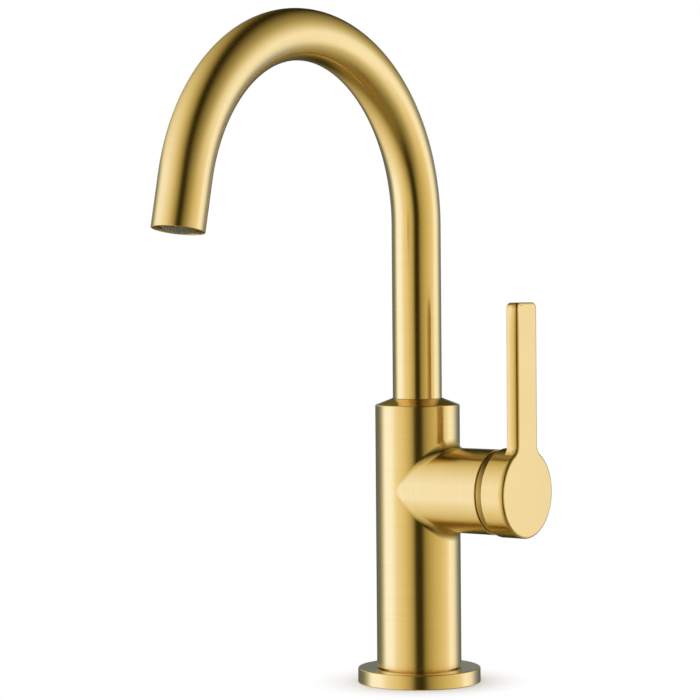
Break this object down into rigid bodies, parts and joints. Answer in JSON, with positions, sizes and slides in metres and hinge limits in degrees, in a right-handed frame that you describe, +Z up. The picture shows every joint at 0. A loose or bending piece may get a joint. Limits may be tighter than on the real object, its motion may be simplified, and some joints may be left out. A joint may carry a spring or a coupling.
{
  "type": "gooseneck bar tap",
  "caption": "Deck-mounted gooseneck bar tap: round body on a cover flange, swivel spout with recessed aerator, side lever that turns for temperature and tilts out for flow.",
  "frame": {"origin": "centre of the cover flange's underside, on top of the deck and on the axis of the deck hole", "axes": "+Z up along the body and the riser, -Y the way the spout reaches at rest, +X out along the valve's axis towards the lever"},
  "size_m": [0.096, 0.2214, 0.3893],
  "materials": {
    "brushed_gold": "brushed gold-coloured coating on brass",
    "shaded_gold": "brushed gold-coloured coating, in the gap and the outlet",
    "plain_brass": "machined brass, unplated",
    "steel": "plain zinc-plated or stainless steel",
    "screen_steel": "woven stainless steel screen",
    "rubber": "matt black rubber",
    "white_plastic": "moulded white plastic",
    "dark_plastic": "moulded dark plastic",
    "blue_plastic": "moulded blue plastic",
    "ceramic": "lapped ceramic"
  },
  "bodies": {
    "body": {"base_flange": "brushed_gold", "base_gasket": "rubber", "body": "brushed_gold", "mounting_shank": "plain_brass", "rubber_washer": "rubber", "steel_washer": "steel", "mounting_nut": "plain_brass", "jack_screws": "steel", "glide_ring": "dark_plastic", "thrust_washer": "white_plastic", "spout_retaining_screw": "steel", "cartridge_base": "white_plastic", "cartridge_seals": "rubber", "cartridge_housing": "blue_plastic", "fixed_disc": "ceramic", "cartridge_nut": "plain_brass", "bonnet_ring": "shaded_gold", "bonnet_seal": "rubber"},
    "rotor": {"cartridge_rotor": "white_plastic", "pivot_pin": "steel"},
    "lever": {"stem": "plain_brass", "handle": "brushed_gold", "handle_set_screw": "steel", "set_screw_plug": "shaded_gold"},
    "disc": {"disc_carrier": "dark_plastic", "moving_disc": "ceramic"},
    "spout": {"spout_tube": "brushed_gold", "spout_foot": "plain_brass", "spout_o_rings": "rubber", "outlet_bush": "plain_brass", "aerator_seal": "rubber", "aerator_housing": "shaded_gold", "aerator_core": "white_plastic", "aerator_screen": "screen_steel"}
  },
  "joints": [
    {"name": "spout_swivel", "type": "hinge", "parent": "body", "child": "spout", "pos_m": [0, 0, 0.126], "axis": [0, 0, 1], "continuous": true},
    {"name": "temperature_turn", "type": "hinge", "parent": "body", "child": "rotor", "pos_m": [0.041, 0, 0.0963], "axis": [1, 0, 0], "range_deg": [0, 90]},
    {"name": "flow_tilt", "type": "hinge", "parent": "rotor", "child": "lever", "pos_m": [0.041, 0, 0.0963], "axis": [0, 1, 0], "range_deg": [0, 10]},
    {"name": "disc_slide", "type": "slide", "parent": "rotor", "child": "disc", "axis": [0, 0, 1], "range_m": [0, 0.00225]}
  ],
  "couplings": [
    {"joint": "disc_slide", "follows": "flow_tilt", "m_per_rad": 0.0127}
  ]
}
